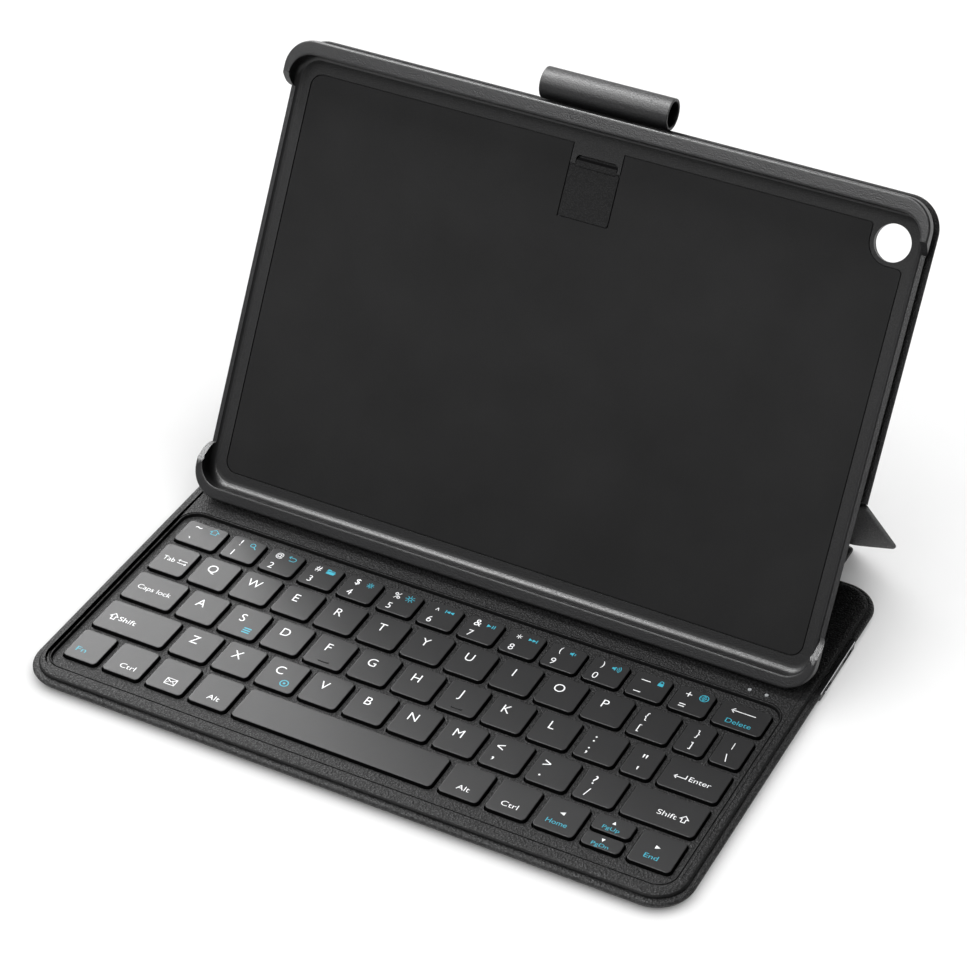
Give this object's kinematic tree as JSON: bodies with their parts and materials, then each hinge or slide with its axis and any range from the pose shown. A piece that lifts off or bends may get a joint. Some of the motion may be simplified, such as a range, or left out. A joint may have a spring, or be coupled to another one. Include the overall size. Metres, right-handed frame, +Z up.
{
  "type": "tablet keyboard case",
  "caption": "Folio keyboard case for a ten-inch tablet, standing open: keyboard base, folding stand leaf, tablet tray with camera hole and a pen loop on top.",
  "frame": {"origin": "middle of the case's footprint on the table, at table height", "axes": "+X to the user's right along the keyboard, +Y away from the user towards the stand, +Z up"},
  "size_m": [0.2561, 0.2149, 0.1674],
  "materials": {
    "leather": "fine pebble grain, satin",
    "deck_leather": "fine pebble grain, satin",
    "keycap": "fine matt",
    "shell_plastic": "fine grain, satin",
    "pad_microfibre": "brushed, matt",
    "inner_plastic": "matt",
    "circuit": "lacquered board",
    "battery_foil": "foil pouch",
    "magnet": "plated",
    "bare_metal": "bright satin",
    "lamp": "clear diffuser"
  },
  "bodies": {
    "base": {"base_bottom_cover": "leather", "battery": "battery_foil", "charge_port": "bare_metal", "circuit_board": "circuit", "dome_sheet": "inner_plastic", "key_plate": "deck_leather", "keyboard_deck": "deck_leather", "link_lamp": "lamp", "magnet_left": "magnet", "magnet_right": "magnet", "power_lamp": "lamp", "side_bezel": "inner_plastic"},
    "spine": {"spine_board": "leather"},
    "stand": {"stand_leaf": "leather"},
    "tray": {"tray_shell": "shell_plastic", "back_panel": "leather", "tray_pad": "pad_microfibre", "pen_loop": "leather"},
    "switch_knob": {"power_switch": "bare_metal"},
    "key_a_cap": {"key_a": "keycap"},
    "key_b_cap": {"key_b": "keycap"},
    "key_c_cap": {"key_c": "keycap"},
    "key_caps_lock_cap": {"key_caps_lock": "keycap"},
    "key_d_cap": {"key_d": "keycap"},
    "key_delete_cap": {"key_delete": "keycap"},
    "key_e_cap": {"key_e": "keycap"},
    "key_enter_cap": {"key_enter": "keycap"},
    "key_f_cap": {"key_f": "keycap"},
    "key_g_cap": {"key_g": "keycap"},
    "key_h_cap": {"key_h": "keycap"},
    "key_i_cap": {"key_i": "keycap"},
    "key_j_cap": {"key_j": "keycap"},
    "key_k_cap": {"key_k": "keycap"},
    "key_l_cap": {"key_l": "keycap"},
    "key_m_cap": {"key_m": "keycap"},
    "key_n_cap": {"key_n": "keycap"},
    "key_o_cap": {"key_o": "keycap"},
    "key_p_cap": {"key_p": "keycap"},
    "key_q_cap": {"key_q": "keycap"},
    "key_r_cap": {"key_r": "keycap"},
    "key_s_cap": {"key_s": "keycap"},
    "key_shift_left_cap": {"key_shift_left": "keycap"},
    "key_shift_right_cap": {"key_shift_right": "keycap"},
    "key_space_cap": {"key_space": "keycap"},
    "key_t_cap": {"key_t": "keycap"},
    "key_tab_cap": {"key_tab": "keycap"},
    "key_u_cap": {"key_u": "keycap"},
    "key_v_cap": {"key_v": "keycap"},
    "key_w_cap": {"key_w": "keycap"},
    "key_x_cap": {"key_x": "keycap"},
    "key_y_cap": {"key_y": "keycap"},
    "key_z_cap": {"key_z": "keycap"},
    "keys_bottom_left_cap": {"keys_bottom_left": "keycap"},
    "keys_bottom_right_cap": {"keys_bottom_right": "keycap"},
    "keys_brackets_cap": {"keys_brackets": "keycap"},
    "keys_numbers_cap": {"keys_numbers": "keycap"},
    "keys_punctuation_cap": {"keys_punctuation": "keycap"},
    "keys_quotes_cap": {"keys_quotes": "keycap"}
  },
  "joints": [
    {"name": "cover_fold_spine", "type": "hinge", "parent": "base", "child": "spine", "pos_m": [0, 0.0744, 0.0008], "axis": [1, 0, 0], "range_deg": [0, 90]},
    {"name": "cover_fold_stand", "type": "hinge", "parent": "spine", "child": "stand", "pos_m": [0, 0.0988, 0.0008], "axis": [1, 0, 0], "range_deg": [-110, 0]},
    {"name": "cover_fold_tray", "type": "hinge", "parent": "stand", "child": "tray", "pos_m": [0, 0.04754, 0.06189], "axis": [1, 0, 0], "range_deg": [0, 70]},
    {"name": "key_a_press", "type": "slide", "parent": "base", "child": "key_a_cap", "axis": [0, 0, -1], "range_m": [0, 0.001], "stiffness_N_per_m": 400, "springref_m": -0.001},
    {"name": "key_b_press", "type": "slide", "parent": "base", "child": "key_b_cap", "axis": [0, 0, -1], "range_m": [0, 0.001], "stiffness_N_per_m": 400, "springref_m": -0.001},
    {"name": "key_c_press", "type": "slide", "parent": "base", "child": "key_c_cap", "axis": [0, 0, -1], "range_m": [0, 0.001], "stiffness_N_per_m": 400, "springref_m": -0.001},
    {"name": "key_caps_lock_press", "type": "slide", "parent": "base", "child": "key_caps_lock_cap", "axis": [0, 0, -1], "range_m": [0, 0.001], "stiffness_N_per_m": 400, "springref_m": -0.001},
    {"name": "key_d_press", "type": "slide", "parent": "base", "child": "key_d_cap", "axis": [0, 0, -1], "range_m": [0, 0.001], "stiffness_N_per_m": 400, "springref_m": -0.001},
    {"name": "key_delete_press", "type": "slide", "parent": "base", "child": "key_delete_cap", "axis": [0, 0, -1], "range_m": [0, 0.001], "stiffness_N_per_m": 400, "springref_m": -0.001},
    {"name": "key_e_press", "type": "slide", "parent": "base", "child": "key_e_cap", "axis": [0, 0, -1], "range_m": [0, 0.001], "stiffness_N_per_m": 400, "springref_m": -0.001},
    {"name": "key_enter_press", "type": "slide", "parent": "base", "child": "key_enter_cap", "axis": [0, 0, -1], "range_m": [0, 0.001], "stiffness_N_per_m": 400, "springref_m": -0.001},
    {"name": "key_f_press", "type": "slide", "parent": "base", "child": "key_f_cap", "axis": [0, 0, -1], "range_m": [0, 0.001], "stiffness_N_per_m": 400, "springref_m": -0.001},
    {"name": "key_g_press", "type": "slide", "parent": "base", "child": "key_g_cap", "axis": [0, 0, -1], "range_m": [0, 0.001], "stiffness_N_per_m": 400, "springref_m": -0.001},
    {"name": "key_h_press", "type": "slide", "parent": "base", "child": "key_h_cap", "axis": [0, 0, -1], "range_m": [0, 0.001], "stiffness_N_per_m": 400, "springref_m": -0.001},
    {"name": "key_i_press", "type": "slide", "parent": "base", "child": "key_i_cap", "axis": [0, 0, -1], "range_m": [0, 0.001], "stiffness_N_per_m": 400, "springref_m": -0.001},
    {"name": "key_j_press", "type": "slide", "parent": "base", "child": "key_j_cap", "axis": [0, 0, -1], "range_m": [0, 0.001], "stiffness_N_per_m": 400, "springref_m": -0.001},
    {"name": "key_k_press", "type": "slide", "parent": "base", "child": "key_k_cap", "axis": [0, 0, -1], "range_m": [0, 0.001], "stiffness_N_per_m": 400, "springref_m": -0.001},
    {"name": "key_l_press", "type": "slide", "parent": "base", "child": "key_l_cap", "axis": [0, 0, -1], "range_m": [0, 0.001], "stiffness_N_per_m": 400, "springref_m": -0.001},
    {"name": "key_m_press", "type": "slide", "parent": "base", "child": "key_m_cap", "axis": [0, 0, -1], "range_m": [0, 0.001], "stiffness_N_per_m": 400, "springref_m": -0.001},
    {"name": "key_n_press", "type": "slide", "parent": "base", "child": "key_n_cap", "axis": [0, 0, -1], "range_m": [0, 0.001], "stiffness_N_per_m": 400, "springref_m": -0.001},
    {"name": "key_o_press", "type": "slide", "parent": "base", "child": "key_o_cap", "axis": [0, 0, -1], "range_m": [0, 0.001], "stiffness_N_per_m": 400, "springref_m": -0.001},
    {"name": "key_p_press", "type": "slide", "parent": "base", "child": "key_p_cap", "axis": [0, 0, -1], "range_m": [0, 0.001], "stiffness_N_per_m": 400, "springref_m": -0.001},
    {"name": "key_q_press", "type": "slide", "parent": "base", "child": "key_q_cap", "axis": [0, 0, -1], "range_m": [0, 0.001], "stiffness_N_per_m": 400, "springref_m": -0.001},
    {"name": "key_r_press", "type": "slide", "parent": "base", "child": "key_r_cap", "axis": [0, 0, -1], "range_m": [0, 0.001], "stiffness_N_per_m": 400, "springref_m": -0.001},
    {"name": "key_s_press", "type": "slide", "parent": "base", "child": "key_s_cap", "axis": [0, 0, -1], "range_m": [0, 0.001], "stiffness_N_per_m": 400, "springref_m": -0.001},
    {"name": "key_shift_left_press", "type": "slide", "parent": "base", "child": "key_shift_left_cap", "axis": [0, 0, -1], "range_m": [0, 0.001], "stiffness_N_per_m": 400, "springref_m": -0.001},
    {"name": "key_shift_right_press", "type": "slide", "parent": "base", "child": "key_shift_right_cap", "axis": [0, 0, -1], "range_m": [0, 0.001], "stiffness_N_per_m": 400, "springref_m": -0.001},
    {"name": "key_space_press", "type": "slide", "parent": "base", "child": "key_space_cap", "axis": [0, 0, -1], "range_m": [0, 0.001], "stiffness_N_per_m": 400, "springref_m": -0.001},
    {"name": "key_t_press", "type": "slide", "parent": "base", "child": "key_t_cap", "axis": [0, 0, -1], "range_m": [0, 0.001], "stiffness_N_per_m": 400, "springref_m": -0.001},
    {"name": "key_tab_press", "type": "slide", "parent": "base", "child": "key_tab_cap", "axis": [0, 0, -1], "range_m": [0, 0.001], "stiffness_N_per_m": 400, "springref_m": -0.001},
    {"name": "key_u_press", "type": "slide", "parent": "base", "child": "key_u_cap", "axis": [0, 0, -1], "range_m": [0, 0.001], "stiffness_N_per_m": 400, "springref_m": -0.001},
    {"name": "key_v_press", "type": "slide", "parent": "base", "child": "key_v_cap", "axis": [0, 0, -1], "range_m": [0, 0.001], "stiffness_N_per_m": 400, "springref_m": -0.001},
    {"name": "key_w_press", "type": "slide", "parent": "base", "child": "key_w_cap", "axis": [0, 0, -1], "range_m": [0, 0.001], "stiffness_N_per_m": 400, "springref_m": -0.001},
    {"name": "key_x_press", "type": "slide", "parent": "base", "child": "key_x_cap", "axis": [0, 0, -1], "range_m": [0, 0.001], "stiffness_N_per_m": 400, "springref_m": -0.001},
    {"name": "key_y_press", "type": "slide", "parent": "base", "child": "key_y_cap", "axis": [0, 0, -1], "range_m": [0, 0.001], "stiffness_N_per_m": 400, "springref_m": -0.001},
    {"name": "key_z_press", "type": "slide", "parent": "base", "child": "key_z_cap", "axis": [0, 0, -1], "range_m": [0, 0.001], "stiffness_N_per_m": 400, "springref_m": -0.001},
    {"name": "keys_bottom_left_press", "type": "slide", "parent": "base", "child": "keys_bottom_left_cap", "axis": [0, 0, -1], "range_m": [0, 0.001], "stiffness_N_per_m": 400, "springref_m": -0.001},
    {"name": "keys_bottom_right_press", "type": "slide", "parent": "base", "child": "keys_bottom_right_cap", "axis": [0, 0, -1], "range_m": [0, 0.001], "stiffness_N_per_m": 400, "springref_m": -0.001},
    {"name": "keys_brackets_press", "type": "slide", "parent": "base", "child": "keys_brackets_cap", "axis": [0, 0, -1], "range_m": [0, 0.001], "stiffness_N_per_m": 400, "springref_m": -0.001},
    {"name": "keys_numbers_press", "type": "slide", "parent": "base", "child": "keys_numbers_cap", "axis": [0, 0, -1], "range_m": [0, 0.001], "stiffness_N_per_m": 400, "springref_m": -0.001},
    {"name": "keys_punctuation_press", "type": "slide", "parent": "base", "child": "keys_punctuation_cap", "axis": [0, 0, -1], "range_m": [0, 0.001], "stiffness_N_per_m": 400, "springref_m": -0.001},
    {"name": "keys_quotes_press", "type": "slide", "parent": "base", "child": "keys_quotes_cap", "axis": [0, 0, -1], "range_m": [0, 0.001], "stiffness_N_per_m": 400, "springref_m": -0.001},
    {"name": "power_switch_slide", "type": "slide", "parent": "base", "child": "switch_knob", "axis": [0, 1, 0], "range_m": [0, 0.0024]}
  ],
  "couplings": [
    {"joint": "cover_fold_spine", "follows": "cover_fold_tray", "ratio": 1.2857},
    {"joint": "cover_fold_stand", "follows": "cover_fold_tray", "ratio": -1.5714}
  ]
}
